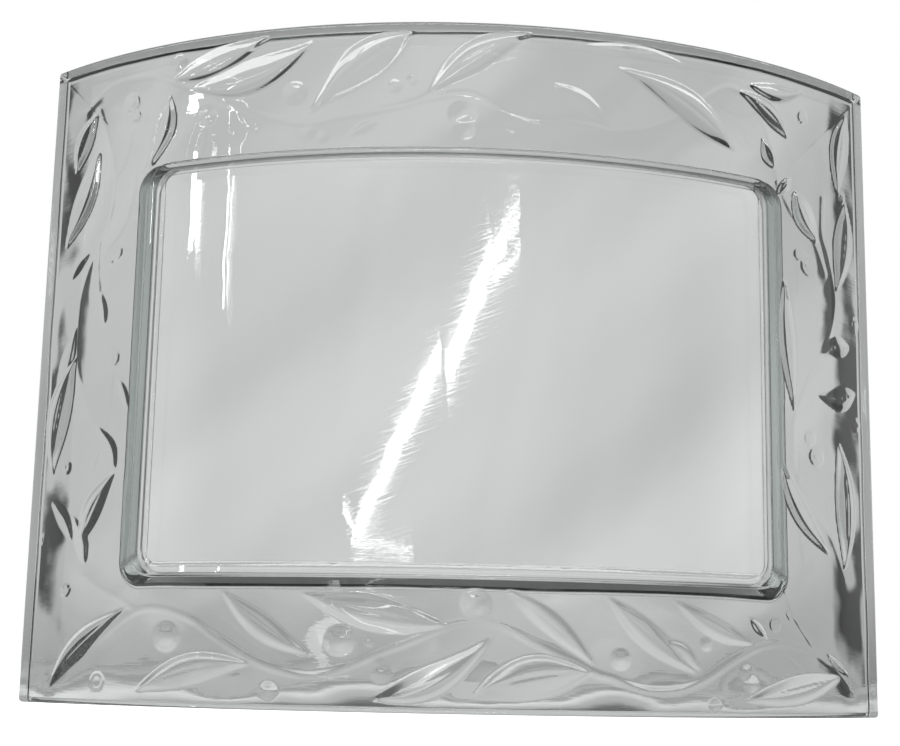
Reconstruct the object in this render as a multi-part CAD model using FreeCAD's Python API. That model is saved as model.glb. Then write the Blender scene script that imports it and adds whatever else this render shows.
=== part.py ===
import FreeCAD, Part
import math
import os

from FreeCAD import Vector

# Curved pressed-glass frame for one landscape print, and the clear sheet that springs
# into the pocket behind it. Millimetres, +Z up, the front bows towards -Y.

# Overall glass
frame_width = 216.0
frame_height = 165.0
front_radius = 158.0
glass_thickness = 12.5
edge_round = 1.5

# Lean of the flat ends, which draw in towards the back, from the straight way back
end_lean_degrees = 26.7

# Print that the frame is made for
print_width = 152.4
print_height = 101.6

# Pocket in the back, drafted so that the press can draw it
pane_thickness = 4.0
finger_gap = 4.0
print_play = 0.3
pocket_draft_degrees = 13.0
pocket_corner_round = 6.2
bottom_border = 30.5

# Smooth moulding round the window, on the front
moulding_width = 3.1
moulding_side_width = 5.1
moulding_height = 0.7
moulding_inner_round = 2.4
moulding_crest_round = 0.3

# Clear retaining sheet
sheet_thickness = 0.8
sheet_seat_gap = 0.3
sheet_side_gap = 0.8
sheet_edge_gap = 0.5
sheet_corner_round = 7.0

# How far a cutting tool runs past the face that it cuts
overrun = 1.0

# Distance below which two measured places count as one
fuzz = 0.001

UP = Vector(0, 0, 1)
AXIS_FOOT = Vector(0, 0, 0)

back_radius = front_radius - glass_thickness

# The front corners are rounded, so the plane of an end lies one rounding past its centre
rounding_radius = front_radius - edge_round
rounding_half_angle = math.asin((frame_width / 2 - edge_round) / rounding_radius)
end_lean = math.radians(end_lean_degrees)
end_distance = rounding_radius * math.sin(rounding_half_angle - end_lean) + edge_round
back_half_angle = math.asin(end_distance / back_radius) + end_lean
band_half_angle = back_half_angle + overrun / back_radius

floor_radius = front_radius - pane_thickness
mouth_radius = back_radius - overrun
pocket_width = print_width + 2 * finger_gap
pocket_height = print_height + 2 * print_play
pocket_half_angle = pocket_width / 2 / floor_radius
pocket_bottom = bottom_border
pocket_top = pocket_bottom + pocket_height
pocket_draft = math.radians(pocket_draft_degrees)


def on_arc(radius, angle, z):
    """The point at an angle from the middle of the front, seen from the curve's axis."""
    return Vector(radius * math.sin(angle), -radius * math.cos(angle), z)


def axis_distance(vertex):
    """How far a corner of a shape lies from the curve's axis."""
    return math.hypot(vertex.Point.x, vertex.Point.y)


def edges_between(shape, inner_radius, outer_radius):
    """The edges that start at one radius and end at the other."""
    found = []
    for edge in shape.Edges:
        radii = sorted(axis_distance(vertex) for vertex in edge.Vertexes)
        if abs(radii[0] - inner_radius) < fuzz and abs(radii[-1] - outer_radius) < fuzz:
            found.append(edge)
    return found


def swept_profile(profile, half_angle):
    """The solid that a list of (radius, z) points sweeps about the axis, both ways."""
    points = [on_arc(radius, -half_angle, z) for radius, z in profile]
    face = Part.Face(Part.makePolygon(points + points[:1]))
    return face.revolve(AXIS_FOOT, UP, math.degrees(2 * half_angle))


def curved_block(inner_radius, outer_radius, half_angle, z_low, z_high, corner_round):
    """A block bent round the axis, with its four corners rounded as seen from the front."""
    profile = [
        (inner_radius, z_low),
        (outer_radius, z_low),
        (outer_radius, z_high),
        (inner_radius, z_high),
    ]
    block = swept_profile(profile, half_angle)
    return block.makeFillet(corner_round, edges_between(block, inner_radius, outer_radius))


def between_ends(band, lean, distance, low_z, high_z):
    """The part of a band between two flat ends, each at a distance from the axis."""
    front_y = -(front_radius + overrun)
    front_x = (distance - front_y * math.sin(lean)) / math.cos(lean)
    back_x = distance / math.cos(lean)
    plan = [
        Vector(-front_x, front_y, low_z),
        Vector(front_x, front_y, low_z),
        Vector(back_x, 0, low_z),
        Vector(-back_x, 0, low_z),
    ]
    plan_face = Part.Face(Part.makePolygon(plan + plan[:1]))
    return band.common(plan_face.extrude(Vector(0, 0, high_z - low_z)))


def glass_slab():
    """The thick bent slab, with every outer edge rounded as fire polishing leaves it."""
    profile = [
        (back_radius, 0),
        (front_radius, 0),
        (front_radius, frame_height),
        (back_radius, frame_height),
    ]
    band = swept_profile(profile, band_half_angle)
    slab = between_ends(band, end_lean, end_distance, -overrun, frame_height + overrun)
    return slab.makeFillet(edge_round, slab.Edges)


def window_moulding():
    """The low smooth band that stands round the window, over the walls of the pocket."""
    root_radius = front_radius - moulding_height
    crest_radius = front_radius + moulding_height
    outer = curved_block(
        root_radius, crest_radius, pocket_half_angle, pocket_bottom, pocket_top, pocket_corner_round
    )
    inner = curved_block(
        root_radius - overrun,
        crest_radius + overrun,
        pocket_half_angle - moulding_side_width / front_radius,
        pocket_bottom + moulding_width,
        pocket_top - moulding_width,
        moulding_inner_round,
    )
    band = outer.cut(inner)
    return band.makeFillet(moulding_crest_round, edges_between(band, crest_radius, crest_radius))


def pocket_space():
    """The space pressed into the back, wider at its mouth than at the pane."""
    flare = math.tan(pocket_draft) * (floor_radius - mouth_radius)
    profile = [
        (floor_radius, pocket_bottom),
        (floor_radius, pocket_top),
        (mouth_radius, pocket_top + flare),
        (mouth_radius, pocket_bottom - flare),
    ]
    band = swept_profile(profile, band_half_angle)

    # The side walls are flat, and lean outwards by the draft from the corners of the pane
    pane_corner = on_arc(floor_radius, pocket_half_angle, 0)
    wall_distance = pane_corner.x * math.cos(pocket_draft) - pane_corner.y * math.sin(pocket_draft)
    low_z = pocket_bottom - flare - overrun
    high_z = pocket_top + flare + overrun
    space = between_ends(band, -pocket_draft, wall_distance, low_z, high_z)
    return space.makeFillet(pocket_corner_round, edges_between(space, mouth_radius, floor_radius))


def glass_body():
    """The one pressed piece: slab, moulding and pocket."""
    body = glass_slab().fuse(window_moulding())
    return body.cut(pocket_space()).removeSplitter()


def retaining_sheet():
    """The clear sheet as it sits in the pocket, bent to the curve behind the print."""
    outer_radius = floor_radius - sheet_seat_gap
    return curved_block(
        outer_radius - sheet_thickness,
        outer_radius,
        pocket_half_angle - sheet_side_gap / floor_radius,
        pocket_bottom + sheet_edge_gap,
        pocket_top - sheet_edge_gap,
        sheet_corner_round,
    )


def to_row_frame(shape, glass_box):
    """Moves a piece from the curve's axis to the frame whose origin is under the glass."""
    moved = shape.copy()
    moved.translate(Vector(0, -(glass_box.YMin + glass_box.YMax) / 2, 0))
    return moved


os.makedirs("parts", exist_ok=True)
glass = glass_body()
glass_box = glass.optimalBoundingBox(False, False)
print("curve's axis at y", round(-(glass_box.YMin + glass_box.YMax) / 2, 3))
pieces = {"glass_body": glass, "retaining_sheet": retaining_sheet()}
for name, shape in pieces.items():
    placed = to_row_frame(shape, glass_box)
    placed.exportStep(os.path.join("parts", name + ".step"))
    box = placed.optimalBoundingBox(False, False)
    print(name, "valid", placed.isValid(), "solids", len(placed.Solids), "volume", round(placed.Volume, 1))
    print("  from", round(box.XMin, 3), round(box.YMin, 3), round(box.ZMin, 3))
    print("  to  ", round(box.XMax, 3), round(box.YMax, 3), round(box.ZMax, 3))
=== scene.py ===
# %% [markdown]
# # A bowed pressed-glass photo frame
# The real object is one heavy casting of clear glass, bent to the front, with a vine
# standing in low relief round a smooth window. A thin clear sheet springs into a pocket
# in its back. The two pieces are measured in millimetres on the unrolled front: s runs
# along the curve from the middle, z runs up from the table, and depth runs into the glass.

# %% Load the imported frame
import math
from collections import namedtuple

import bpy
import numpy as np
from mathutils import Matrix, Vector
from mathutils.geometry import delaunay_2d_cdt


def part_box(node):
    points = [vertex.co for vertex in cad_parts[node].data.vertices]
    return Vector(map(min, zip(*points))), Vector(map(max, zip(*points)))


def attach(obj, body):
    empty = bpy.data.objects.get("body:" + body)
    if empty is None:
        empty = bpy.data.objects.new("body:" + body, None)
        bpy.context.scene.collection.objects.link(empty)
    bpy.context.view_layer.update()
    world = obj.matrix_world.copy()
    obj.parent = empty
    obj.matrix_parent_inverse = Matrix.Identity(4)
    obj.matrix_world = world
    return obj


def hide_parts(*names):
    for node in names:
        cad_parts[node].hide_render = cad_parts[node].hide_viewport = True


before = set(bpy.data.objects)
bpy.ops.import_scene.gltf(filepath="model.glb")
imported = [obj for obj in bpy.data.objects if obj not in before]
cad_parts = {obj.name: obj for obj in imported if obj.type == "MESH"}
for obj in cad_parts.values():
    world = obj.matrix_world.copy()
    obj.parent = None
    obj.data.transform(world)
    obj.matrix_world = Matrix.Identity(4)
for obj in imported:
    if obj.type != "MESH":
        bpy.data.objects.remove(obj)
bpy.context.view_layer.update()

MM = 0.001
glass_low, glass_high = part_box("glass_body")
print("glass box in mm", [round(v / MM, 2) for v in (*glass_low, *glass_high)])

# %% [markdown]
# ## Sizes
# The casting's width, height and place come from the frame. The radius of the bow and the
# sizes of the pocket aren't in a box, so they are named here once.

# %% Name the sizes of the casting
FRONT_RADIUS = 158.0
GLASS_THICKNESS = 12.5
PANE_THICKNESS = 4.0
EDGE_ROUND = 0.9
MOULDING_HEIGHT = 0.7
FRAME_HEIGHT = (glass_high.z - glass_low.z) / MM
HALF_WIDTH = (glass_high.x - glass_low.x) / MM / 2
AXIS_Y = glass_low.y / MM + FRONT_RADIUS + MOULDING_HEIGHT
END_LEAN = math.radians(26.7)
ROUNDING_RADIUS = FRONT_RADIUS - EDGE_ROUND
ROUNDING_ANGLE = math.asin((HALF_WIDTH - EDGE_ROUND) / ROUNDING_RADIUS)
END_DISTANCE = ROUNDING_RADIUS * math.sin(ROUNDING_ANGLE - END_LEAN) + EDGE_ROUND
END_S = FRONT_RADIUS * (math.asin(END_DISTANCE / FRONT_RADIUS) + END_LEAN)
print("the front is", round(2 * END_S, 1), "mm long round the curve")

# %% Name the window, the moulding and the pocket
POCKET_HALF_ON_PANE = 80.2
POCKET_HALF = POCKET_HALF_ON_PANE / (FRONT_RADIUS - PANE_THICKNESS) * FRONT_RADIUS
POCKET_LOW = 30.5
POCKET_HIGH = 132.7
POCKET_CORNER = 6.2
POCKET_DRAFT = math.radians(13.0)
MOULDING_WIDTH = 3.1
MOULDING_SIDE_WIDTH = 5.1
WINDOW_CORNER = 2.4
WALL_DEPTH = GLASS_THICKNESS - PANE_THICKNESS


def wall_angle(radius):
    """Angle at which the flat, drafted side wall of the pocket meets a radius."""
    pane_radius = FRONT_RADIUS - PANE_THICKNESS
    pane_angle = POCKET_HALF / FRONT_RADIUS
    reach = pane_radius * math.sin(pane_angle + POCKET_DRAFT)
    return math.asin(reach / radius) - POCKET_DRAFT


def end_half(depth):
    """Half the casting's length at a depth. Its flat ends lean in towards the back."""
    return FRONT_RADIUS * (math.asin(END_DISTANCE / (FRONT_RADIUS - depth)) + END_LEAN)


MOUTH_HALF = FRONT_RADIUS * wall_angle(FRONT_RADIUS - GLASS_THICKNESS)
MOUTH_FLARE = WALL_DEPTH * math.tan(POCKET_DRAFT)
print("pocket half length", round(POCKET_HALF, 2), "at the pane,", round(MOUTH_HALF, 2), "at the mouth")

# %% [markdown]
# ## Rings
# A rounded rectangle is the outline of the window, of the moulding, of the pocket and of the
# whole casting. If every outline has the same number of points, and a point always looks
# out in the same direction, two outlines can be joined by a strip of four-sided faces. So
# the casting becomes one closed skin of rings, and its edges follow its real outlines.

# %% Plan where the points of a ring go
POINT_STEP = 0.5
Plan = namedtuple("Plan", "half low high level upright corner")


def plan_points(half, low, high, radius, corner_run_length, step):
    """Where the straight parts of an outline end, and how many points each part gets."""
    end, bottom, top = half - radius, low + radius, high - radius
    level, upright, corner = (round(run / step) for run in (2 * end, top - bottom, corner_run_length))
    return Plan(end, bottom, top, level, upright, corner)


corner_run_length = END_S - POCKET_HALF + POCKET_LOW + 2 * POCKET_CORNER
casting_plan = plan_points(POCKET_HALF, POCKET_LOW, POCKET_HIGH, POCKET_CORNER, corner_run_length, POINT_STEP)
print("points on a level run", casting_plan.level, "on an upright run", casting_plan.upright)


# %% Draw one outline
def straight_run(start, end, count):
    """Evenly spaced points from start up to, but not at, end."""
    share = np.arange(count)[:, None] / count
    return np.array(start) + share * (np.array(end) - np.array(start))


def corner_run(start, corner, end, radius, count):
    """Points from start to end round a corner of that radius, evenly spaced."""
    start, corner, end = (np.array(p, float) for p in (start, corner, end))
    into = (corner - start) / np.linalg.norm(corner - start)
    out = (end - corner) / np.linalg.norm(end - corner)
    first = np.linalg.norm(corner - start) - radius
    arc = radius * math.pi / 2
    last = np.linalg.norm(end - corner) - radius
    along = np.arange(count) / count * (first + arc + last)
    turn = np.clip((along - first) / max(arc, 1e-9), 0, 1)[:, None] * math.pi / 2
    before = np.minimum(along, first)[:, None]
    after = np.maximum(along - first - arc, 0)[:, None]
    return start + before * into + radius * (np.sin(turn) * into + (1 - np.cos(turn)) * out) + after * out


def outline(plan, half, low, high, radius):
    """A rounded rectangle in (s, z), anticlockwise as seen from the front."""
    a, b, c = plan.half, plan.low, plan.high
    runs = [
        straight_run((-a, low), (a, low), plan.level),
        corner_run((a, low), (half, low), (half, b), radius, plan.corner),
        straight_run((half, b), (half, c), plan.upright),
        corner_run((half, c), (half, high), (a, high), radius, plan.corner),
        straight_run((a, high), (-a, high), plan.level),
        corner_run((-a, high), (-half, high), (-half, c), radius, plan.corner),
        straight_run((-half, c), (-half, b), plan.upright),
        corner_run((-half, b), (-half, low), (-a, low), radius, plan.corner),
    ]
    return np.concatenate(runs)


def ring(points, depth):
    """An outline at a depth in the glass, which may differ from point to point."""
    depths = np.broadcast_to(depth, len(points))
    return np.column_stack([points[:, 0], depths, points[:, 1]])


def wrap(points):
    """Bends (s, depth, z) in millimetres round the frame's axis, into metres."""
    angle = points[:, 0] / FRONT_RADIUS
    radius = FRONT_RADIUS - points[:, 1]
    x = radius * np.sin(angle)
    y = AXIS_Y - radius * np.cos(angle)
    return np.column_stack([x, y, points[:, 2]]) * MM


print("points in one ring", len(outline(casting_plan, END_S, 0, FRAME_HEIGHT, EDGE_ROUND)))

# %% [markdown]
# ## The vine
# The vine was cut into the mould, so on the glass it stands proud and has no undercuts. It
# could be sculpted by hand, or drawn as a height above the plain front. The height is the
# better way: a leaf, a stem and a berry are each one short formula, and where two of them
# meet, the higher one wins and leaves the crisp valley that a mould maker's tool leaves.

# %% Place the stems
# Each stem is a list of (s, z) points
STEM_RADIUS = 1.0
STEM_HEIGHT = 0.055
SHOULDER_WIDTH = 3.0
SHOULDER_HEIGHT = 0.05
STEMS = {
    "top_left": [(-106, 151), (-98.5, 155.6), (-91, 157), (-83, 156.7), (-77, 154.5), (-65, 148.5),
                 (-54, 143.5), (-46, 141), (-39, 139.6), (-29, 141), (-19.5, 142.5), (-12, 144.5),
                 (-7, 147.5)],
    "top_middle": [(-10, 145), (0, 146.6), (8, 143.5), (13, 141.8), (20, 140.5), (27.5, 140.2), (36, 139.4)],
    "top_right": [(36, 139.4), (46, 141.5), (56, 147), (63, 152.5), (69, 155.5), (75, 153), (80, 147),
                  (82.5, 140), (84, 133.5), (89.5, 125), (96.5, 120), (100.5, 112)],
    "left_side": [(-101, 150.5), (-97.5, 143), (-94.5, 133.5), (-95, 122.5), (-98.7, 114.5), (-102, 107),
                  (-104, 98.5), (-103.7, 84), (-101, 77), (-98, 71), (-94.3, 66.5), (-90, 62), (-86.5, 57.5),
                  (-83.8, 49), (-84.5, 41)],
    "left_twig": [(-98.7, 114.7), (-98.5, 108.5), (-97.6, 102.4)],
    "right_side": [(100.2, 132), (99.8, 122.5), (101.6, 117), (103.7, 109.5), (104.2, 104), (101.8, 95.5),
                   (94.7, 85), (88.5, 73), (87.6, 67), (88, 60), (92.6, 51.5), (101, 43.5), (105.5, 34)],
    "bottom": [(-106.5, 5), (-100.5, 9), (-94.3, 13), (-88, 17), (-83.5, 20), (-79.7, 22), (-75.5, 22.8),
               (-71.4, 22.5), (-67, 21.4), (-62.7, 19.8), (-58, 16.8), (-53, 14), (-48, 11.3), (-41, 9),
               (-33.3, 7.9), (-26, 9.6), (-17, 13.6), (-12.4, 15.3), (-7.7, 17.3), (-3.2, 19.1), (0.4, 20.1),
               (5, 20.6), (8.3, 20.2), (12, 19), (16.8, 16.6), (21.4, 14.4), (27.2, 12), (32, 9.6), (36, 8.6),
               (39.7, 7.3), (44.4, 6.1), (49.4, 5.9), (54.3, 6.6), (59.4, 8.5), (64.7, 11.5), (69, 13.8),
               (73.2, 15.7), (77.2, 17), (82, 17.5), (87, 17.1), (92.3, 15.8), (97, 13.7), (101.3, 11.2),
               (106, 7.5)],
    "bottom_left_twig": [(-96, 30.4), (-91, 27.4), (-85.2, 25.2), (-80, 22.5)],
    "bottom_right_twig": [(82.4, 33.4), (86.7, 24.7), (91.7, 18.6), (95.5, 14.6)],
}
print("stems", len(STEMS))

# %% Place the leaves
# Each row: where the leaf springs from, its tip, how far its midrib bows to the left, its
# half width, how far along it is at its fullest, and how high it stands
LEAVES = [
    ((-77, 154.5), (-49, 163), -0.6, 3.6, 0.45, 0.8),
    ((-71, 151.7), (-37.5, 161), -3.4, 4.6, 0.45, 0.9),
    ((-39.7, 140.8), (-13, 162.2), 1.6, 5.2, 0.6, 0.8),
    ((-10, 145), (16, 162.6), 2.6, 3.9, 0.52, 0.8),
    ((-59.6, 145.4), (-51.6, 137.8), 0.4, 1.5, 0.6, 0.2),
    ((-20.2, 139.8), (-28.6, 135.8), -0.3, 1.4, 0.55, 0.18),
    ((36, 139.4), (20, 150.5), -1.2, 2.6, 0.5, 0.34),
    ((34.5, 156.5), (70, 139), 2.6, 4.4, 0.62, 1.1),
    ((69, 155.5), (88, 145.3), 1.8, 3.0, 0.6, 0.9),
    ((74.5, 157.5), (93.5, 159.5), -1.4, 2.4, 0.45, 0.7),
    ((28, 160.5), (58, 158.5), 1.0, 2.2, 0.5, 0.29),
    ((78.5, 144), (82.8, 136.5), 0.2, 2.6, 0.55, 0.75),
    ((83.4, 129.8), (88, 135.4), -0.2, 1.8, 0.5, 0.45),
    ((89.5, 132), (98, 119.5), -0.6, 3.6, 0.45, 1.0),
    ((82.5, 119), (81.9, 106), 0.3, 1.5, 0.5, 0.4),
    ((87.2, 99.5), (86.3, 92.8), -0.1, 1.8, 0.5, 0.5),
    ((-84.8, 130), (-77.2, 151), -1.8, 3.2, 0.62, 1.0),
    ((-101.5, 150), (-108.5, 135), -1.2, 3.2, 0.5, 0.8),
    ((-100, 140), (-111, 115.5), 1.0, 3.6, 0.5, 0.9),
    ((-99.5, 113.5), (-108, 106.5), -0.8, 1.6, 0.6, 0.21),
    ((-97.6, 103.5), (-94.6, 93), 0.2, 1.4, 0.6, 0.18),
    ((-104, 98), (-110.5, 77), 0.6, 2.4, 0.65, 0.31),
    ((-104, 86), (-110.5, 56.5), -2.2, 4.4, 0.5, 1.0),
    ((-98, 70), (-88, 56), 1.0, 2.6, 0.65, 0.34),
    ((-89.7, 80), (-85, 70), 0.4, 1.3, 0.5, 0.17),
    ((-86.5, 57.5), (-99, 38), -1.6, 3.2, 0.6, 0.42),
    ((-110, 49), (-101.5, 39), 0.8, 1.8, 0.5, 0.23),
    ((-102.5, 46), (-96.5, 33), 0.8, 2.2, 0.55, 0.29),
    ((111, 157), (106.5, 134), -1.2, 3.8, 0.45, 0.4),
    ((104.5, 107), (109.5, 132.5), -1.0, 3.9, 0.55, 0.7),
    ((96, 88), (109.5, 93.5), 1.8, 2.8, 0.7, 0.36),
    ((93, 81), (112, 82), -2.0, 3.0, 0.7, 0.39),
    ((105.5, 36), (104.2, 68.5), -1.8, 4.0, 0.5, 1.0),
    ((88.5, 73), (85.5, 109), 0.6, 3.0, 0.55, 0.7),
    ((83, 62), (100.5, 39.5), -2.2, 3.0, 0.45, 0.7),
    ((-80, 24), (-106.8, 5), -1.6, 3.2, 0.6, 0.45),
    ((-45.8, 10.2), (-78.4, 3.4), -2.2, 3.8, 0.55, 0.49),
    ((-33.5, 12.4), (-56.5, 27.6), 1.2, 2.9, 0.5, 0.38),
    ((-0.5, 19.6), (-36.5, 26.6), 1.0, 4.0, 0.5, 0.5),
    ((9.7, 19.4), (-19, 2.8), 2.9, 3.6, 0.6, 0.47),
    ((32, 9.6), (3.4, 4.0), -1.8, 5.0, 0.5, 0.5),
    ((33, 10), (10.5, 28.4), -0.8, 2.8, 0.55, 0.36),
    ((58.9, 9.2), (34.6, 27.4), 0.8, 3.2, 0.55, 0.42),
    ((59, 10), (48, 17.4), -0.8, 2.2, 0.55, 0.29),
    ((75.3, 17), (51.4, 27), 1.4, 2.6, 0.5, 0.34),
    ((78.6, 18.4), (73, 23.4), 0.2, 1.3, 0.55, 0.6),
    ((103.6, 10.2), (70.5, 3.9), 0.4, 3.4, 0.48, 0.5),
    ((106, 10.5), (98, 15.4), 0.3, 1.1, 0.5, 0.6),
]
LEAF_BEVEL = 1.2
BEVEL_SHARE = 0.25
LEAF_ROUNDNESS = 1.3
LEAF_TAPER = 0.8
LEAF_LEAN = 0.45
LEAF_FLATTEN = 0.8
MIDRIB_DEPTH = 0.3
MIDRIB_WIDTH = 0.14
print("leaves", len(LEAVES))

# %% Place the berries
# Each row: the middle and the radius
BERRIES = [
    (-75, 159.1, 2.3), (-42.5, 147.7, 3.1), (-66, 144, 2.7), (-38.5, 137.6, 1.8), (-35.2, 135.9, 1.4),
    (-89.4, 150.7, 2.5), (-88, 147, 1.6), (-17.5, 148.3, 1.8), (-13.3, 149.8, 1.4), (-1.2, 141.4, 3.5),
    (-0.4, 137.4, 2.6), (62, 148.5, 1.5), (58.5, 149.5, 1.1), (93.2, 152.5, 1.7), (-92, 111.6, 1.9),
    (-94.5, 109.8, 1.4), (-86.4, 121.6, 1.7), (-105.2, 57.8, 1.4), (-112.6, 40, 1.1), (-103, 27.2, 1.6),
    (-91.5, 84.5, 2.4), (107.8, 133.5, 1.7), (94.3, 113, 2.8), (91, 115.5, 1.8), (112.5, 100.2, 1.9),
    (112, 73.8, 1.6), (84, 78.4, 1.5), (95.7, 64, 2.6), (93.4, 68.3, 1.9), (-70.4, 16.3, 3.7),
    (-90.3, 5.6, 2.3), (-43.4, 4.4, 2.2), (-26.8, 15.8, 3.6), (-19.9, 15.5, 0.8), (-17.2, 8.5, 2.1),
    (-17.8, 11.1, 1.2), (4.1, 24.6, 3.6), (38, 12.9, 2.5), (60, 16.8, 1.5), (71.2, 10.8, 2.0),
    (72.8, 7.9, 2.0), (62.3, 2.9, 1.4), (80.4, 21.8, 1.7), (85.5, 24.5, 1.4),
]
BERRY_HEIGHT_SHARE = 0.08
BERRY_HEIGHT_MOST = 0.3
RIM_HEIGHT = 0.05
RIM_PLACE = 0.86
RIM_WIDTH = 0.35
print("berries", len(BERRIES))

# %% [markdown]
# A stem is a smooth curve through a few given points, with a round top and a soft
# shoulder. A leaf has a bowed midrib with a pillow on each side of it, and ends in a crease.
# A berry is a cap of a ball. The glass is bent away from the eye at its sides, where every
# slope shows more, so the stems and berries there are lower.

# %% Write the tools for heights
SIDES_CALM = 0.65
SIDES_START = 74
SIDES_FADE = 10


def smooth_curve(points, step=0.6):
    """A curve through the points, in short straight pieces."""
    p = np.array(points, float)
    p = np.vstack([2 * p[0] - p[1], p, 2 * p[-1] - p[-2]])
    pieces = []
    for k in range(1, len(p) - 2):
        count = max(2, int(np.linalg.norm(p[k + 1] - p[k]) / step))
        t = (np.arange(count) / count)[:, None]
        pieces.append(0.5 * (2 * p[k] + (p[k + 1] - p[k - 1]) * t
                             + (2 * p[k - 1] - 5 * p[k] + 4 * p[k + 1] - p[k + 2]) * t ** 2
                             + (3 * p[k] - p[k - 1] - 3 * p[k + 1] + p[k + 2]) * t ** 3))
    return np.vstack(pieces + [p[-2:-1]])


def fade_in(share):
    """0 below 0, 1 above 1, and smooth between."""
    share = np.clip(share, 0, 1)
    return share * share * (3 - 2 * share)


def calm_sides(s):
    """1 above and below the window, and less out on the two side borders."""
    return 1 - SIDES_CALM * fade_in((np.abs(s) - SIDES_START) / SIDES_FADE)


def near(s, z, low, high, margin):
    """Which places lie inside a box grown by a margin."""
    inside = (s > low[0] - margin) & (s < high[0] + margin)
    return np.flatnonzero(inside & (z > low[1] - margin) & (z < high[1] + margin))


# %% Write the heights of a stem, a leaf and a berry
def stem_height(s, z, height, points):
    """Raises the heights to the stem's, where it stands higher."""
    curve = smooth_curve(points)
    chosen = near(s, z, curve.min(0), curve.max(0), 3 * SHOULDER_WIDTH)
    place = np.column_stack([s[chosen], z[chosen]])
    nearest = np.full(len(chosen), 1e9)
    for start, end in zip(curve[:-1], curve[1:]):
        run = end - start
        t = np.clip((place - start) @ run / (run @ run), 0, 1)
        nearest = np.minimum(nearest, np.linalg.norm(place - start - t[:, None] * run, axis=1))
    cord = STEM_HEIGHT * np.clip(1 - (nearest / STEM_RADIUS) ** 2, 0, 1) * calm_sides(s[chosen])
    shoulder = SHOULDER_HEIGHT * np.exp(-(nearest / SHOULDER_WIDTH) ** 2)
    height[chosen] = np.maximum(height[chosen], cord + shoulder)


def leaf_height(s, z, height, leaf):
    """Raises the heights to the leaf's, where it stands higher."""
    base, tip, bow, half_width, fullest, top = leaf
    base, tip = np.array(base, float), np.array(tip, float)
    length = np.linalg.norm(tip - base)
    along = (tip - base) / length
    side = np.array([-along[1], along[0]])
    chosen = near(s, z, np.minimum(base, tip), np.maximum(base, tip), half_width + abs(bow) + 1)
    place = np.column_stack([s[chosen], z[chosen]]) - base
    t = place @ along / length
    across = place @ side - bow * 4 * t * (1 - t)
    inside = (t > 0) & (t < 1)
    t = np.clip(t, 0, 1)
    width = half_width * np.sin(math.pi * t ** (math.log(0.5) / math.log(fullest)))
    q = np.clip(across / np.maximum(width, 1e-6), -1, 1)
    bevel = fade_in((width - np.abs(across)) / LEAF_BEVEL)
    pillow = (1 - np.abs(q) ** LEAF_ROUNDNESS) * (width / half_width) ** LEAF_TAPER
    crown = LEAF_FLATTEN * (BEVEL_SHARE * bevel + (1 - BEVEL_SHARE) * pillow)
    groove = MIDRIB_DEPTH * np.exp(-np.abs(q) / MIDRIB_WIDTH)
    midrib = 1 - groove * np.clip(width / half_width, 0, 1)
    lean = 1 + LEAF_LEAN * np.sign(bow) * q
    rise = np.where(inside & (np.abs(across) < width), top * crown * midrib * lean, 0)
    height[chosen] = np.maximum(height[chosen], rise)


def berry_height(s, z, height, berry):
    """Raises the heights to the berry's, where it stands higher."""
    middle_s, middle_z, radius = berry
    rise = min(BERRY_HEIGHT_MOST, BERRY_HEIGHT_SHARE * radius)
    chosen = near(s, z, (middle_s, middle_z), (middle_s, middle_z), radius)
    away = np.hypot(s[chosen] - middle_s, z[chosen] - middle_z) / radius
    dome = rise * np.clip(1 - away ** 2, 0, 1) ** 1.5 * calm_sides(s[chosen])
    rim = RIM_HEIGHT * np.exp(-((away - RIM_PLACE) * radius / RIM_WIDTH) ** 2)
    height[chosen] = np.maximum(height[chosen], np.where(away < 1, dome + rim * fade_in((1 - away) * 8), 0))


# %% [markdown]
# Pressed glass is never quite flat: it shrinks as it cools, so the plain ground between the
# leaves rolls gently. A sum of a few slow waves does this without any noise texture, and it
# is real shape, so it also bends what is seen through the glass.

# %% Add up the relief
RELIEF_FADE = 1.4
ROLLING_FADE = 7.0
# Each row: how fast the wave runs along s and along z, where it starts, and its height
WAVES = [
    (0.11, 0.07, 0.4, 0.10),
    (-0.09, 0.16, 1.7, 0.08),
    (0.24, -0.13, 2.9, 0.05),
    (0.31, 0.29, 4.1, 0.03),
]


def rolling(s, z):
    """Slow, shallow waves in the surface, in millimetres."""
    return calm_sides(s) * sum(tall * np.sin(a * s + b * z + c) for a, b, c, tall in WAVES)


def relief(s, z):
    """How far the border stands out in front of the plain bowed slab."""
    height = np.zeros(len(s))
    for points in STEMS.values():
        stem_height(s, z, height, points)
    for leaf in LEAVES:
        leaf_height(s, z, height, leaf)
    for berry in BERRIES:
        berry_height(s, z, height, berry)
    edge = np.minimum(np.minimum(z, FRAME_HEIGHT - z), END_S - np.abs(s)) - EDGE_ROUND
    window = np.maximum(np.abs(s) - POCKET_HALF, np.maximum(POCKET_LOW - z, z - POCKET_HIGH))
    inland = np.minimum(edge, window)
    return fade_in(inland / RELIEF_FADE) * height + fade_in(inland / ROLLING_FADE) * rolling(s, z)


print("tallest leaf in mm", max(leaf[-1] for leaf in LEAVES), "waves", len(WAVES))


# %% [markdown]
# ## The skin of the casting
# The rings start at the window, climb over the moulding, cross the border, turn round the
# outer edge, come back over the plain back and go down into the pocket. The moulding has a
# small second step on its inner side, which shows in the glass as a pair of dark lines.
# Beside every rounded edge lies one more ring, a support, that keeps the smooth shading of
# the round from spreading over the flat. In glass such a spread bends everything behind it.

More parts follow.
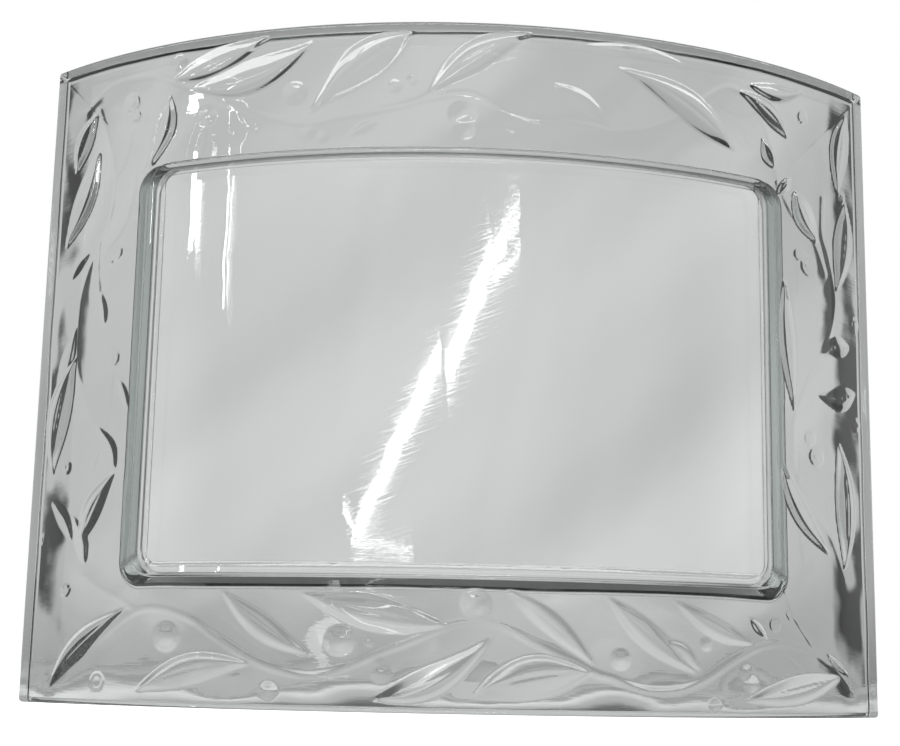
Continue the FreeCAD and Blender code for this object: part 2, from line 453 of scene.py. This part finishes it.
# %% Make the rings of the moulding and the border
# Each point of the profile: how far out from the window, and how high
MOULDING_PROFILE = [
    (0.0, 0.0), (0.06, 0.1), (0.16, 0.15), (0.7, 0.17), (0.78, 0.22), (0.86, 0.24), (0.98, 0.26), (1.5, 0.34),
    (2.1, 0.45), (2.7, 0.55), (2.9, 0.54), (3.02, 0.38), (3.07, 0.16), (3.1, 0.0),
]
BORDER_RINGS = round((END_S - POCKET_HALF) / POINT_STEP)
SUPPORT = 0.3


def between(inner, outer, share):
    return inner + share * (outer - inner)


def moulding_rings():
    """From the flat window out over the moulding."""
    half = POCKET_HALF - MOULDING_SIDE_WIDTH
    low, high = POCKET_LOW + MOULDING_WIDTH, POCKET_HIGH - MOULDING_WIDTH
    window = outline(casting_plan, half - SUPPORT, low + SUPPORT, high - SUPPORT, WINDOW_CORNER - SUPPORT)
    rings = [ring(window, 0)]
    for offset, height in MOULDING_PROFILE:
        share = offset / MOULDING_WIDTH
        corner = between(WINDOW_CORNER, POCKET_CORNER, share)
        reach = MOULDING_WIDTH - offset
        half = POCKET_HALF - reach / MOULDING_WIDTH * MOULDING_SIDE_WIDTH
        points = outline(casting_plan, half, POCKET_LOW + reach, POCKET_HIGH - reach, corner)
        rings.append(ring(points, -height))
    return rings


def outer_outline(depth, inset):
    """The casting's outline at a depth, drawn in by up to the radius of its rounded edge."""
    return outline(casting_plan, end_half(depth) - inset, inset, FRAME_HEIGHT - inset, EDGE_ROUND - inset)


def border_rings():
    """From the moulding out to the edge, raised by the relief."""
    inner = outline(casting_plan, POCKET_HALF, POCKET_LOW, POCKET_HIGH, POCKET_CORNER)
    outer = outer_outline(0, EDGE_ROUND)
    rings = []
    for k in range(1, BORDER_RINGS + 1):
        points = between(inner, outer, k / BORDER_RINGS)
        rings.append(ring(points, -relief(points[:, 0], points[:, 1])))
    return rings


# %% Make the rings of the outer edge
ROUND_STEPS = 6
SIDE_STEPS = 7


def edge_rings():
    """Round the front edge, over the flat ends and the top, and round the back edge."""
    rings = []
    for k in range(1, ROUND_STEPS + 1):
        turn = math.pi / 2 * k / ROUND_STEPS
        depth = EDGE_ROUND * (1 - math.cos(turn))
        rings.append(ring(outer_outline(depth, EDGE_ROUND * (1 - math.sin(turn))), depth))
    for depth in np.linspace(EDGE_ROUND + SUPPORT, GLASS_THICKNESS - EDGE_ROUND - SUPPORT, SIDE_STEPS):
        rings.append(ring(outer_outline(depth, 0), depth))
    for k in range(ROUND_STEPS + 1):
        turn = math.pi / 2 * k / ROUND_STEPS
        depth = GLASS_THICKNESS - EDGE_ROUND * (1 - math.sin(turn))
        rings.append(ring(outer_outline(depth, EDGE_ROUND * (1 - math.cos(turn))), depth))
    return rings


# %% Make the rings of the back and the pocket
MOUTH_ROUND = 0.7
FOOT_ROUND = 0.4
BACK_SHARES = (0, 0.3, 0.6)
WALL_SHARES = (0.985, 0.93, 0.8, 0.6, 0.4, 0.2, 0.07, 0.02)


def mouth_outline(margin):
    """The outline of the pocket where it meets the back, grown by a margin."""
    low, high = POCKET_LOW - MOUTH_FLARE - margin, POCKET_HIGH + MOUTH_FLARE + margin
    return outline(casting_plan, MOUTH_HALF + margin, low, high, POCKET_CORNER + margin)


def pocket_rings():
    """The plain back, the mouth of the pocket, its drafted wall and the edge of the pane."""
    edge = EDGE_ROUND + SUPPORT
    outer = outline(casting_plan, end_half(GLASS_THICKNESS) - edge, edge, FRAME_HEIGHT - edge, 0)
    beside_mouth = mouth_outline(MOUTH_ROUND + SUPPORT)
    rings = [ring(between(outer, beside_mouth, share), GLASS_THICKNESS) for share in BACK_SHARES]
    rings += [ring(points, GLASS_THICKNESS) for points in (beside_mouth, mouth_outline(MOUTH_ROUND))]
    for depth_share in WALL_SHARES:
        flare = MOUTH_FLARE * depth_share
        half = between(POCKET_HALF, MOUTH_HALF, depth_share)
        points = outline(casting_plan, half, POCKET_LOW - flare, POCKET_HIGH + flare, POCKET_CORNER)
        rings.append(ring(points, PANE_THICKNESS + WALL_DEPTH * depth_share))
    for inset in (FOOT_ROUND, FOOT_ROUND + SUPPORT):
        low, high = POCKET_LOW + inset, POCKET_HIGH - inset
        foot = outline(casting_plan, POCKET_HALF - inset, low, high, POCKET_CORNER - inset)
        rings.append(ring(foot, PANE_THICKNESS))
    return rings


# %% [markdown]
# The two faces of the pane close the skin. A fan of triangles to one point would pinch the
# reflections there, so the inside of the last ring is filled with an even grid of points,
# and Blender's own triangulation joins that grid to the ring.

# %% Close the two faces of the pane
PANE_STEP = 3.0
PANE_MARGIN = 0.7 * PANE_STEP


def pane_fill(last_ring, depth):
    """Extra points and triangles that fill a ring. Triangles count the ring's points first."""
    edge = last_ring[:, [0, 2]]
    low, high = edge.min(0) + PANE_MARGIN, edge.max(0) - PANE_MARGIN
    across = np.linspace(low[0], high[0], round((high[0] - low[0]) / PANE_STEP))
    up = np.linspace(low[1], high[1], round((high[1] - low[1]) / PANE_STEP))
    grid = np.array([(s, z) for s in across for z in up])
    flat = [Vector(p) for p in np.vstack([edge, grid])]
    border = [(k, (k + 1) % len(edge)) for k in range(len(edge))]
    result = delaunay_2d_cdt(flat, border, [], 1, 1e-6)
    if len(result[0]) != len(flat):
        raise ValueError("the triangulation moved or merged a point of the pane")
    extra = np.column_stack([grid[:, 0], np.full(len(grid), depth), grid[:, 1]])
    order = [origins[0] for origins in result[3]]
    return extra, [[order[v] for v in face] for face in result[2]]


# %% Join the rings into one skin
def skin(name, rings, front_depth, back_depth):
    """One closed mesh from rings, with a pane at each end."""
    count = len(rings[0])
    front, front_faces = pane_fill(rings[0], front_depth)
    back, back_faces = pane_fill(rings[-1], back_depth)
    points = np.vstack(rings + [front, back])
    j = np.arange(count)
    k = (j + 1) % count
    faces = []
    for level in range(len(rings) - 1):
        a, b = level * count, (level + 1) * count
        faces.extend(np.column_stack([a + j, b + j, b + k, a + k]).tolist())
    front_start = len(rings) * count
    back_ring = (len(rings) - 1) * count
    back_start = front_start + len(front)
    for face in front_faces:
        faces.append([v if v < count else front_start + v - count for v in face])
    for face in back_faces:
        corners = [back_ring + v if v < count else back_start + v - count for v in face]
        faces.append(corners[::-1])
    mesh = bpy.data.meshes.new(name)
    mesh.from_pydata(wrap(points).tolist(), [], faces)
    mesh.validate()
    mesh.shade_smooth()
    piece = bpy.data.objects.new(name, mesh)
    bpy.context.scene.collection.objects.link(piece)
    print(name, "points", len(mesh.vertices), "faces", len(mesh.polygons))
    return piece


# %% Build the casting
casting = skin(
    "pressed_glass_casting",
    moulding_rings() + border_rings() + edge_rings() + pocket_rings(),
    0.0,
    PANE_THICKNESS,
)
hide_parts("glass_body")
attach(casting, "frame")

# %% [markdown]
# ## The clear sheet
# The sheet is cut from thin clear plastic and bent by hand into the pocket, behind the
# print. It could be a plane with a thickness added, but the same rings that made the
# casting give it rounded corners, a softened cut edge and the right bend at once.

# %% Name the sizes of the sheet
sheet_low, sheet_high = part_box("retaining_sheet")
SEAT_GAP = 0.3
SHEET_THICKNESS = 0.8
SHEET_DEPTH = PANE_THICKNESS + SEAT_GAP
SHEET_HALF = FRONT_RADIUS * math.asin(sheet_high.x / MM / (FRONT_RADIUS - SHEET_DEPTH))
SHEET_LOW, SHEET_HIGH = sheet_low.z / MM, sheet_high.z / MM
SHEET_CORNER = 7.0
SHEET_POINT_STEP = 1.0
CUT_ROUND = 0.12
FLAT_INSET = 1.5
print("sheet half length, carried out to the front", round(SHEET_HALF, 1))

# %% Build the sheet
sheet_plan = plan_points(SHEET_HALF, SHEET_LOW, SHEET_HIGH, SHEET_CORNER, 2 * SHEET_CORNER, SHEET_POINT_STEP)


def sheet_rings():
    """From the front of the sheet round its cut edge to the back."""
    front = [(FLAT_INSET, 0), (CUT_ROUND, 0), (0, CUT_ROUND)]
    rings = []
    for inset, depth in front + [(inset, SHEET_THICKNESS - depth) for inset, depth in front[::-1]]:
        points = outline(sheet_plan, SHEET_HALF - inset, SHEET_LOW + inset, SHEET_HIGH - inset,
                         SHEET_CORNER - inset)
        rings.append(ring(points, SHEET_DEPTH + depth))
    return rings


clear_sheet = skin("clear_retaining_sheet", sheet_rings(), SHEET_DEPTH, SHEET_DEPTH + SHEET_THICKNESS)
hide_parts("retaining_sheet")
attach(clear_sheet, "sheet")

# %% [markdown]
# ## Finishes
# Clear glass has almost no colour of its own. What makes it look real is its refraction, a
# faint grey-green that deepens with thickness, and a surface that isn't quite perfect. The
# depth of colour could be painted on, but then a thick part would look like a thin one, so
# the glass absorbs light inside instead.

# %% Start a material
def new_material(name):
    """A material with one Principled shader, and that shader."""
    material = bpy.data.materials.new(name)
    material.use_nodes = True
    nodes = material.node_tree.nodes
    nodes.clear()
    output = nodes.new("ShaderNodeOutputMaterial")
    shader = nodes.new("ShaderNodeBsdfPrincipled")
    material.node_tree.links.new(shader.outputs["BSDF"], output.inputs["Surface"])
    return material, shader


def maths(tree, operation, first, second=None):
    """A Math node. Each input is a number or the output of another node."""
    node = tree.nodes.new("ShaderNodeMath")
    node.operation = operation
    for socket, value in zip(node.inputs, (first, second)):
        if hasattr(value, "is_linked"):
            tree.links.new(value, socket)
        elif value is not None:
            socket.default_value = value
    return node.outputs[0]


def product(tree, first, *others):
    """Several values multiplied together."""
    for other in others:
        first = maths(tree, "MULTIPLY", first, other)
    return first


def weighted(tree, first, first_weight, second, second_weight):
    """Two values, each times its weight, added up."""
    first_part = product(tree, first, first_weight)
    return maths(tree, "ADD", first_part, product(tree, second, second_weight))


def ramp(tree, value, low, high, at_low, at_high):
    """at_low below low, at_high above high, and smooth between."""
    node = tree.nodes.new("ShaderNodeMapRange")
    node.interpolation_type = "SMOOTHSTEP"
    tree.links.new(value, node.inputs["Value"])
    for name, number in (("From Min", low), ("From Max", high), ("To Min", at_low), ("To Max", at_high)):
        node.inputs[name].default_value = number
    return node.outputs["Result"]


# %% [markdown]
# Both pieces have been wiped by hand, so both carry faint smears. That effect is one node
# group, placed in each material with its own values.

# %% Make the group for smears
SMEAR_DETAIL = 4.0
SMEAR_STARTS, SMEAR_FULL = 0.5, 0.75


def hand_smears():
    """A group that puts out a roughness, higher where the noise makes a smear."""
    group = bpy.data.node_groups.new("hand_smears", "ShaderNodeTree")
    for name in ("Scale", "Clean", "Smeared"):
        group.interface.new_socket(name, in_out="INPUT", socket_type="NodeSocketFloat")
    group.interface.new_socket("Roughness", in_out="OUTPUT", socket_type="NodeSocketFloat")
    inputs = group.nodes.new("NodeGroupInput")
    outputs = group.nodes.new("NodeGroupOutput")
    place = group.nodes.new("ShaderNodeTexCoord").outputs["Object"]
    noise = group.nodes.new("ShaderNodeTexNoise")
    noise.inputs["Detail"].default_value = SMEAR_DETAIL
    group.links.new(place, noise.inputs["Vector"])
    group.links.new(inputs.outputs["Scale"], noise.inputs["Scale"])
    spots = ramp(group, noise.outputs["Fac"], SMEAR_STARTS, SMEAR_FULL, 0.0, 1.0)
    mix = group.nodes.new("ShaderNodeMapRange")
    group.links.new(spots, mix.inputs["Value"])
    group.links.new(inputs.outputs["Clean"], mix.inputs["To Min"])
    group.links.new(inputs.outputs["Smeared"], mix.inputs["To Max"])
    group.links.new(mix.outputs["Result"], outputs.inputs["Roughness"])
    return group


smears_group = hand_smears()


def smeared(tree, scale, clean, dirty):
    """Places the group in a material, with this material's own values."""
    node = tree.nodes.new("ShaderNodeGroup")
    node.node_tree = smears_group
    for name, value in (("Scale", scale), ("Clean", clean), ("Smeared", dirty)):
        node.inputs[name].default_value = value
    return node.outputs["Roughness"]


print("group inputs and outputs", len(smears_group.interface.items_tree))

# %% [markdown]
# The glass has two more flaws. Slow ripples come from cooling, and fine level lines are
# left by the press. Both are far too shallow to model, so they are bumps, a few thousandths
# of a millimetre to a few hundredths deep. They feather the edges of what shines in it.

# %% Write the tools for a bumped surface
def bumped(tree, height, depth):
    """A normal bent by a height. The depth is in metres."""
    node = tree.nodes.new("ShaderNodeBump")
    node.inputs["Distance"].default_value = depth
    tree.links.new(height, node.inputs["Height"])
    return node.outputs["Normal"]


def noise_at(tree, place, scale, detail):
    """Soft random values between 0 and 1 over a place."""
    node = tree.nodes.new("ShaderNodeTexNoise")
    node.inputs["Scale"].default_value = scale
    node.inputs["Detail"].default_value = detail
    tree.links.new(place, node.inputs["Vector"])
    return node.outputs["Fac"]


# %% Make the glass
GLASS_COLOUR = (0.975, 0.98, 0.978, 1)
GLASS_IOR = 1.52
RIPPLE_SCALE = 110.0
RIPPLE_DEPTH = 0.00004
PRESS_LINES_SCALE = (250, 250, 1800)
PRESS_LINES_DEPTH = 0.0000025
TINT = (0.1, 0.19, 0.15, 1)
TINT_DENSITY = 24.0

glass, shader = new_material("fire_polished_glass")
tree = glass.node_tree
shader.inputs["Base Color"].default_value = GLASS_COLOUR
shader.inputs["IOR"].default_value = GLASS_IOR
shader.inputs["Transmission Weight"].default_value = 1.0
tree.links.new(smeared(tree, scale=60.0, clean=0.0, dirty=0.012), shader.inputs["Roughness"])
place = tree.nodes.new("ShaderNodeTexCoord").outputs["Object"]
ripple = bumped(tree, noise_at(tree, place, RIPPLE_SCALE, 1.0), RIPPLE_DEPTH)
stretch = tree.nodes.new("ShaderNodeMapping")
stretch.inputs["Scale"].default_value = PRESS_LINES_SCALE
tree.links.new(place, stretch.inputs["Vector"])
press_lines = noise_at(tree, stretch.outputs["Vector"], 1.0, 1.0)
fine = bumped(tree, press_lines, PRESS_LINES_DEPTH)
tree.links.new(ripple, fine.node.inputs["Normal"])
tree.links.new(fine, shader.inputs["Normal"])
absorb = tree.nodes.new("ShaderNodeVolumeAbsorption")
absorb.inputs["Color"].default_value = TINT
absorb.inputs["Density"].default_value = TINT_DENSITY
tree.links.new(absorb.outputs["Volume"], tree.nodes["Material Output"].inputs["Volume"])
casting.data.materials.append(glass)
print(glass.name, "nodes", len(tree.nodes))

# %% [markdown]
# The plastic sheet is softer than glass. Years of prints slid in and out have left fine
# straight scratches in it, and a lamp that shines in it looks like a brush stroke. A bump
# of noise, stretched long one way, makes such scratches.

# %% Make the clear plastic
PLASTIC_COLOUR = (0.965, 0.968, 0.965, 1)
PLASTIC_IOR = 1.49
SCRATCHES_ALONG = (70.0, 30.0)
SCRATCHES_ACROSS = (-600.0, 1500.0)
SCRATCH_DEPTH = 0.00001


def stretched_noise(tree, split, along, across, detail):
    """Noise that changes slowly one way and fast the other. Each way weighs X and Z."""
    join = tree.nodes.new("ShaderNodeCombineXYZ")
    for name, (by_x, by_z) in (("X", along), ("Y", across)):
        way = weighted(tree, split.outputs["X"], by_x, split.outputs["Z"], by_z)
        tree.links.new(way, join.inputs[name])
    return noise_at(tree, join.outputs[0], 1.0, detail)


plastic, shader = new_material("scuffed_clear_plastic")
tree = plastic.node_tree
shader.inputs["Base Color"].default_value = PLASTIC_COLOUR
shader.inputs["IOR"].default_value = PLASTIC_IOR
shader.inputs["Transmission Weight"].default_value = 1.0
tree.links.new(smeared(tree, scale=35.0, clean=0.015, dirty=0.05), shader.inputs["Roughness"])
split = tree.nodes.new("ShaderNodeSeparateXYZ")
tree.links.new(tree.nodes.new("ShaderNodeTexCoord").outputs["Object"], split.inputs[0])
scratches = stretched_noise(tree, split, SCRATCHES_ALONG, SCRATCHES_ACROSS, 2.0)
tree.links.new(bumped(tree, scratches, SCRATCH_DEPTH), shader.inputs["Normal"])
clear_sheet.data.materials.append(plastic)
print(plastic.name, "nodes", len(tree.nodes))

# %% [markdown]
# ## Set, light and camera
# Glass shows its surroundings more than itself. In a studio it stands on white paper before
# a pale backdrop of limited size, with dark flags at both sides, so that its ends and the
# walls of its pocket draw themselves as dark lines. From here on, lengths are in metres.
#
# The paper could be a plain white plane under strong lamps, but they would wash out the
# glass. So its paleness is its own colour and glow. The camera sees it glow near white. For
# the glass, light and shade are painted on: a painted shadow keeps it dark right behind the
# frame, a painted glow makes it grey farther out and pale again far away, and its colour is
# painted greyer far out as painted shade.

# %% Name how pale the paper is, and its painted light and shade
# Each row: nearer than this, farther than this, the value near, the value far
# Painted shade: the paper's colour greys from 0.92 near the frame to 0.62 far out
PAPER_COLOUR_AND_PAINTED_SHADE = (0.2, 0.4, 0.92, 0.62)
GLOW_TO_CAMERA = (0.2, 0.5, 0.55, 1.0)
# Painted shadow and painted light for the glass: no glow right behind the frame, a grey glow farther out
PAINTED_SHADOW_BEHIND = (0.035, 0.08, 0.0, 0.42)
PAINTED_SHADOW_WIDTHWAYS = 0.35
# The painted glow fades out beyond this, and a second painted glow lights the paper far away
PAINTED_GLOW_FADES_OUT = (0.15, 0.33, 1.0, 0.05)
PAINTED_GLOW_FAR = (0.5, 0.8, 0.0, 0.25)
FLOOR_REACH = 4.0


# %% Write the tools for the paper and the world
def seen_in_glass(tree, path):
    """1 for light that the glass reflects or lets through on its way to the camera."""
    through = maths(tree, "MAXIMUM", path.outputs["Is Glossy Ray"], path.outputs["Is Transmission Ray"])
    direct = maths(tree, "LESS_THAN", path.outputs["Diffuse Depth"], 0.5)
    return product(tree, through, direct)


def length_of(tree, vector):
    """How far a place lies from the middle."""
    node = tree.nodes.new("ShaderNodeVectorMath")
    node.operation = "LENGTH"
    tree.links.new(vector, node.inputs[0])
    return node.outputs["Value"]


# %% Lay the floor
bpy.ops.mesh.primitive_plane_add(size=2 * FLOOR_REACH)
floor = bpy.context.object
floor.name = "floor"
paper, shader = new_material("white_paper_with_painted_light")
tree = paper.node_tree
shader.inputs["Roughness"].default_value = 0.9
shader.inputs["Emission Color"].default_value = (1, 1, 1, 1)
place = tree.nodes.new("ShaderNodeTexCoord").outputs["Object"]
away = length_of(tree, place)
# The paper's colour, painted greyer far out as painted shade
paper_and_painted_shade = tree.nodes.new("ShaderNodeCombineColor")
for channel in paper_and_painted_shade.inputs[:3]:
    tree.links.new(ramp(tree, away, *PAPER_COLOUR_AND_PAINTED_SHADE), channel)
tree.links.new(paper_and_painted_shade.outputs[0], shader.inputs["Base Color"])
path = tree.nodes.new("ShaderNodeLightPath")
to_camera = product(tree, path.outputs["Is Camera Ray"], ramp(tree, away, *GLOW_TO_CAMERA))
squeeze = tree.nodes.new("ShaderNodeVectorMath")
squeeze.operation = "MULTIPLY"
squeeze.inputs[1].default_value = (PAINTED_SHADOW_WIDTHWAYS, 1, 0)
tree.links.new(place, squeeze.inputs[0])
close = length_of(tree, squeeze.outputs["Vector"])
# Painted light and shadow: a glow that only the glass sees, none right behind the frame
painted_light_and_shadow = product(tree, ramp(tree, close, *PAINTED_SHADOW_BEHIND), ramp(tree, away, *PAINTED_GLOW_FADES_OUT))
painted_light_and_shadow = maths(tree, "ADD", painted_light_and_shadow, ramp(tree, away, *PAINTED_GLOW_FAR))
painted_light_to_glass = product(tree, seen_in_glass(tree, path), painted_light_and_shadow)
tree.links.new(maths(tree, "MAXIMUM", to_camera, painted_light_to_glass), shader.inputs["Emission Strength"])
floor.data.materials.append(paper)
print("floor side in metres", 2 * FLOOR_REACH)

# %% [markdown]
# The world stands in for the rest of the studio. A photographed room could be wrapped round
# the scene, but a few ramps over the direction are easier to aim. Behind the frame hangs
# the backdrop, paler in its middle, with soft folds. A dark flag stands at each side of it,
# and far to the sides the room is bright. The camera itself sees plain white.

# %% Name the directions in the studio
# Each row: below this, above this, the value below, the value above
BACKDROP_FACES = (0.98, 0.2)
BACKDROP_MIDDLE = (0.91, 0.975, 0.58, 0.72)
BACKDROP_EDGE = (0.55, 0.9, 0.65, 1.0)
HORIZON = (0.0, 0.07, 0.8, 1.0)
FLAGS_SHIFT = 0.03
FLAG_STARTS = (0.306, 0.326, 0.0, 1.0)
FLAG_ENDS = (0.47, 0.54, 0.0, 1.0)
FLAG_DARKNESS = 0.97
BRIGHT_SIDES = (0.75, 0.92, 1.0, 2.5)
FOLDS_ALONG = (1.2, 1.0)
FOLDS_ACROSS = (-6.5, 8.0)
FOLD_SHADES = (0.3, 0.7, 0.85, 1.08)
SOFT_LIGHT = (-0.3, 0.6, 0.17, 0.03)

# %% Start the world
world = bpy.data.worlds.new("studio")
bpy.context.scene.world = world
world.use_nodes = True
tree = world.node_tree
split = tree.nodes.new("ShaderNodeSeparateXYZ")
tree.links.new(tree.nodes.new("ShaderNodeTexCoord").outputs["Generated"], split.inputs[0])
sideways, behind, upwards = (split.outputs[name] for name in "XYZ")

# %% Hang the backdrop with its folds
facing = weighted(tree, maths(tree, "ABSOLUTE", behind), BACKDROP_FACES[0], upwards, BACKDROP_FACES[1])
backdrop = product(tree, ramp(tree, facing, *BACKDROP_MIDDLE), ramp(tree, facing, *BACKDROP_EDGE))
backdrop = product(tree, backdrop, ramp(tree, upwards, *HORIZON))
room = ramp(tree, maths(tree, "ABSOLUTE", sideways), *BRIGHT_SIDES)
folds = ramp(tree, stretched_noise(tree, split, FOLDS_ALONG, FOLDS_ACROSS, 1.0), *FOLD_SHADES)

# %% Stand the two dark flags
distance = maths(tree, "MAXIMUM", behind, 0.001)
bearing = maths(tree, "SUBTRACT", maths(tree, "DIVIDE", sideways, distance), FLAGS_SHIFT)
bearing = maths(tree, "ABSOLUTE", bearing)
flag = maths(tree, "SUBTRACT", ramp(tree, bearing, *FLAG_STARTS), ramp(tree, bearing, *FLAG_ENDS))
flag = product(tree, flag, maths(tree, "GREATER_THAN", behind, 0.0), FLAG_DARKNESS)
flags = maths(tree, "SUBTRACT", 1.0, flag)

# %% Mix what each kind of light sees
path = tree.nodes.new("ShaderNodeLightPath")
seen = product(tree, backdrop, room, flags, folds)
ambient = ramp(tree, behind, *SOFT_LIGHT)
extra = product(tree, seen_in_glass(tree, path), maths(tree, "SUBTRACT", seen, ambient))
strength = maths(tree, "MAXIMUM", maths(tree, "ADD", ambient, extra), path.outputs["Is Camera Ray"])
background = tree.nodes["Background"]
background.inputs["Color"].default_value = (1, 1, 1, 1)
tree.links.new(strength, background.inputs["Strength"])
print("world nodes", len(tree.nodes))

# %% [markdown]
# The key light is large and soft, and hidden from the glass, which would show it as a hard
# white square. Strip lamps give the glass its bright lines instead. Three wide ones stand
# high round the front, where only the upper slopes of the leaves can mirror them, so they
# draw the leaves in thin white lines. Thin ones make the long streak in the window.

# %% Hang the key light
MIDDLE_HEIGHT = 0.08


def soft_box(name, start, end, width, watts):
    """A lamp as long as from start to end, facing the middle of the frame."""
    start, end = Vector(start), Vector(end)
    middle = (start + end) / 2
    along = (end - start).normalized()
    upright = (middle - Vector((0, 0, MIDDLE_HEIGHT))).cross(along).normalized()
    turn = Matrix((along, upright, along.cross(upright))).transposed().to_4x4()
    lamp = bpy.data.lights.new(name, "AREA")
    lamp.shape = "RECTANGLE"
    lamp.size = (end - start).length
    lamp.size_y = width
    lamp.energy = watts
    holder = bpy.data.objects.new(name, lamp)
    holder.matrix_world = Matrix.Translation(middle) @ turn
    bpy.context.scene.collection.objects.link(holder)
    return holder


key = soft_box("key_light", (-0.65, -1.1, 1.2), (0.25, -1.1, 1.2), 0.7, 30)
key.visible_glossy = False
key.visible_transmission = False

# %% Stand the edge lights round the front
EDGE_LIGHT_REACH = 1.8
EDGE_LIGHT_HEIGHT = 1.3
EDGE_LIGHT_WIDTH = 0.36
EDGE_LIGHT_WATTS = 12
bearings = [math.radians(angle) for angle in (-80, -27, 27, 80)]
ends = [
    (EDGE_LIGHT_REACH * math.sin(bearing), -EDGE_LIGHT_REACH * math.cos(bearing), EDGE_LIGHT_HEIGHT)
    for bearing in bearings
]
for number, (first, last) in enumerate(zip(ends, ends[1:]), 1):
    edge_light = soft_box(f"edge_light_{number}", first, last, EDGE_LIGHT_WIDTH, EDGE_LIGHT_WATTS)
    edge_light.visible_diffuse = False
    edge_light.visible_transmission = False

# %% Hang the thin strips
# Each row: name, the two ends, the width and the watts
STRIPS = [
    ("upper_strip", (-0.05, -1.6, 0.366), (0.22, -1.6, 0.525), 0.042, 0.4),
    ("lower_strip", (-0.57, -1.6, 0.182), (-0.08, -1.6, 0.395), 0.032, 0.5),
    ("strand_1", (0.18, -1.6, 0.51), (0.377, -1.6, 0.611), 0.009, 0.06),
    ("strand_2", (0.21, -1.6, 0.51), (0.391, -1.6, 0.588), 0.009, 0.06),
    ("strand_3", (0.22, -1.6, 0.485), (0.393, -1.6, 0.544), 0.009, 0.06),
    ("strand_4", (-0.672, -1.6, 0.216), (-0.58, -1.6, 0.17), 0.009, 0.06),
    ("strand_5", (-0.59, -1.6, 0.17), (-0.224, -1.6, 0.149), 0.009, 0.06),
    ("left_strip", (-1.45, -0.87, 0.53), (-1.45, -0.87, 0.67), 0.036, 0.36),
    ("left_thread", (-1.31, -1.07, 0.46), (-1.31, -1.07, 0.7), 0.012, 0.22),
    ("low_patch", (-0.9, -1.6, 0.03), (-0.68, -1.6, 0.07), 0.04, 0.12),
]
for name, start, end, width, watts in STRIPS:
    soft_box(name, start, end, width, watts)
print("lamps", len(bpy.data.lights))

# %% [markdown]
# The camera stands almost at the level of the table, a little to the left, and looks
# slightly up. A camera can be aimed with a constraint, but its roll would be lost, so its
# three directions are worked out from its angles.

# %% Set the camera
CAMERA_LENS = 64.1
CAMERA_ANGLES = (1.30, 10.48, 1.12)
CAMERA_FROM_APEX = (-11.2, -367.6, 9.9)
camera_data = bpy.data.cameras.new("camera")
camera_data.sensor_width = 36.0
camera_data.lens = CAMERA_LENS
camera_data.clip_start = 0.01
camera = bpy.data.objects.new("camera", camera_data)
bpy.context.scene.collection.objects.link(camera)
yaw, pitch, roll = (math.radians(angle) for angle in CAMERA_ANGLES)
forward = Vector((math.sin(yaw) * math.cos(pitch), math.cos(yaw) * math.cos(pitch), math.sin(pitch)))
level = Vector((math.cos(yaw), -math.sin(yaw), 0))
upright = level.cross(forward)
right = level * math.cos(roll) + upright * math.sin(roll)
up = upright * math.cos(roll) - level * math.sin(roll)
apex = Vector((0, AXIS_Y - FRONT_RADIUS, 0))
turn = Matrix((right, up, -forward)).transposed().to_4x4()
camera.matrix_world = Matrix.Translation((apex + Vector(CAMERA_FROM_APEX)) * MM) @ turn
bpy.context.scene.camera = camera
bpy.context.scene.view_settings.view_transform = "Standard"
print("camera at", [round(v, 3) for v in camera.matrix_world.translation])
